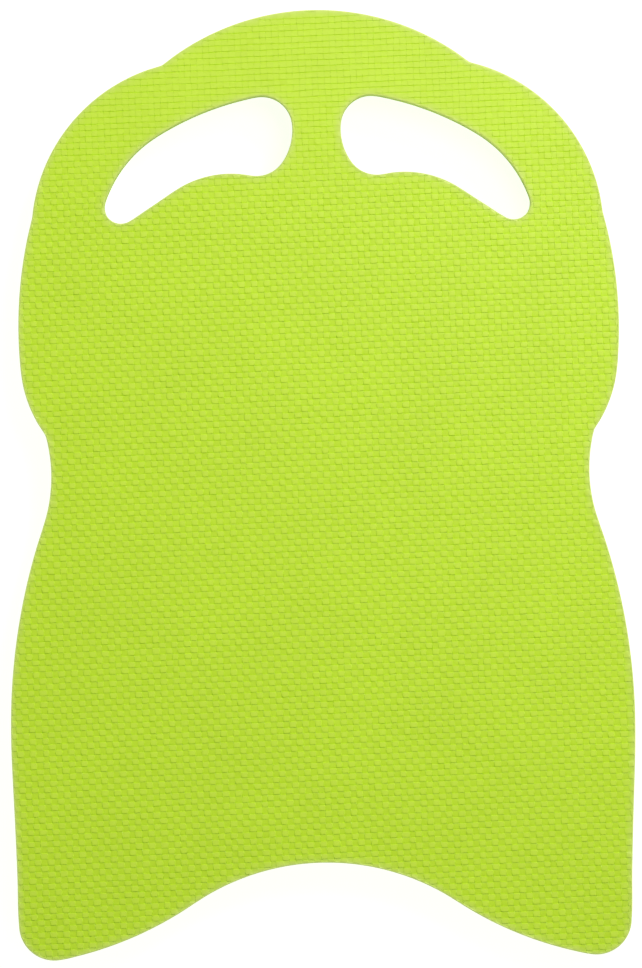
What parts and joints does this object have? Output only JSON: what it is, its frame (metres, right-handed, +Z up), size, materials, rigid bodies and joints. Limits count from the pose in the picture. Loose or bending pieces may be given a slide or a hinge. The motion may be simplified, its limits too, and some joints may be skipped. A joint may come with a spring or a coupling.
{
  "type": "kickboard float",
  "caption": "Flat closed-cell foam swimming board with a waisted outline, a two-lobed tail and a curved finger slot on each side of the nose.",
  "frame": {"origin": "middle of the length and width, on the bottom face that the board rests on", "axes": "+Y along the centre line towards the nose and its finger slots, +Z up through the thickness, +X to the right seen from above"},
  "size_m": [0.29, 0.44, 0.03],
  "materials": {
    "embossed_eva": "matte",
    "core_eva": "matte",
    "set_adhesive": "satin"
  },
  "bodies": {
    "root": {"bottom_sheet": "embossed_eva", "lower_bond_film": "set_adhesive", "core_sheet": "core_eva", "upper_bond_film": "set_adhesive", "top_sheet": "embossed_eva"}
  },
  "joints": []
}
